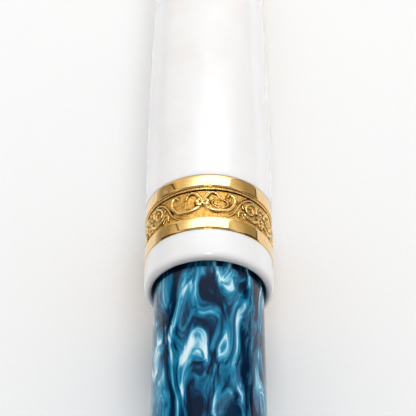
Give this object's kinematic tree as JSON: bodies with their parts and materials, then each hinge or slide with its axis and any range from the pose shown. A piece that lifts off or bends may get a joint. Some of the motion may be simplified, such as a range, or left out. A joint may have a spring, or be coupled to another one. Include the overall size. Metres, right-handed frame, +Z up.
{
  "type": "fountain pen",
  "caption": "Capped fountain pen with a screw cap, ornamented cap band, spring clip, gold nib, finned feed and screw-piston converter.",
  "frame": {"origin": "on the pen's axis in the plane of the cap's mouth, where barrel and cap meet", "axes": "+Y along the pen's axis from the barrel's tail to the cap's top, +Z up, away from the clip's side, +X completing the right-handed frame"},
  "size_m": [0.0158, 0.1435, 0.0172],
  "materials": {
    "white_resin": "polished cast resin, near white",
    "polished_gold": "polished gold plate on brass",
    "antique_gold": "gold plate with a darkened, finely punched ground",
    "blue_marbled_resin": "polished resin, marbled in navy, slate and pearl blue",
    "black_resin": "satin black moulded resin",
    "nib_gold": "polished gold",
    "hard_alloy": "polished hard alloy",
    "feed_resin": "ribbed black resin",
    "clear_resin": "clear tube",
    "seal_rubber": "soft black seal",
    "turned_brass": "turned brass"
  },
  "bodies": {
    "section": {"grip_section": "blue_marbled_resin", "section_ring": "polished_gold", "thread_collar": "turned_brass", "nib_housing": "feed_resin", "nib": "nib_gold", "nib_tipping": "hard_alloy", "feed": "feed_resin", "converter_tube": "clear_resin", "converter_ferrule": "polished_gold", "converter_collar": "polished_gold"},
    "liner": {"inner_cap": "black_resin"},
    "cap": {"cap_tube": "white_resin", "cap_lip": "white_resin", "band_lower_rim": "polished_gold", "band_upper_rim": "polished_gold", "band_frieze": "antique_gold", "clip_ring": "polished_gold", "clip_pin": "hard_alloy", "cap_finial": "white_resin", "finial_screw": "turned_brass"},
    "clip": {"clip": "polished_gold"},
    "bush": {"barrel_bush": "black_resin"},
    "barrel": {"barrel_tube": "blue_marbled_resin", "tail_ring": "polished_gold", "tail_finial": "blue_marbled_resin"},
    "knob": {"converter_knob": "black_resin"},
    "piston": {"piston_rod": "hard_alloy", "piston_seal": "seal_rubber"}
  },
  "joints": [
    {"name": "cap_pull", "type": "slide", "parent": "section", "child": "liner", "axis": [0, 1, 0], "range_m": [0, 0.062]},
    {"name": "cap_turn", "type": "hinge", "parent": "liner", "child": "cap", "pos_m": [0, 0, 0], "axis": [0, 1, 0], "range_deg": [0, 540]},
    {"name": "clip_flex", "type": "hinge", "parent": "cap", "child": "clip", "pos_m": [0.00323, 0.06342, -0.00517], "axis": [0.848, 0, 0.5299], "range_deg": [0, 5], "stiffness_Nm_per_rad": 0.8},
    {"name": "barrel_pull", "type": "slide", "parent": "section", "child": "bush", "axis": [0, -1, 0], "range_m": [0, 0.06]},
    {"name": "barrel_turn", "type": "hinge", "parent": "bush", "child": "barrel", "pos_m": [0, 0, 0], "axis": [0, -1, 0], "range_deg": [0, 1440]},
    {"name": "knob_turn", "type": "hinge", "parent": "section", "child": "knob", "pos_m": [0, -0.03, 0], "axis": [0, 1, 0], "range_deg": [0, 2020]},
    {"name": "piston_travel", "type": "slide", "parent": "section", "child": "piston", "axis": [0, -1, 0], "range_m": [0, 0.014]}
  ],
  "couplings": [
    {"joint": "knob_turn", "follows": "piston_travel", "rad_per_m": 2513.3}
  ]
}
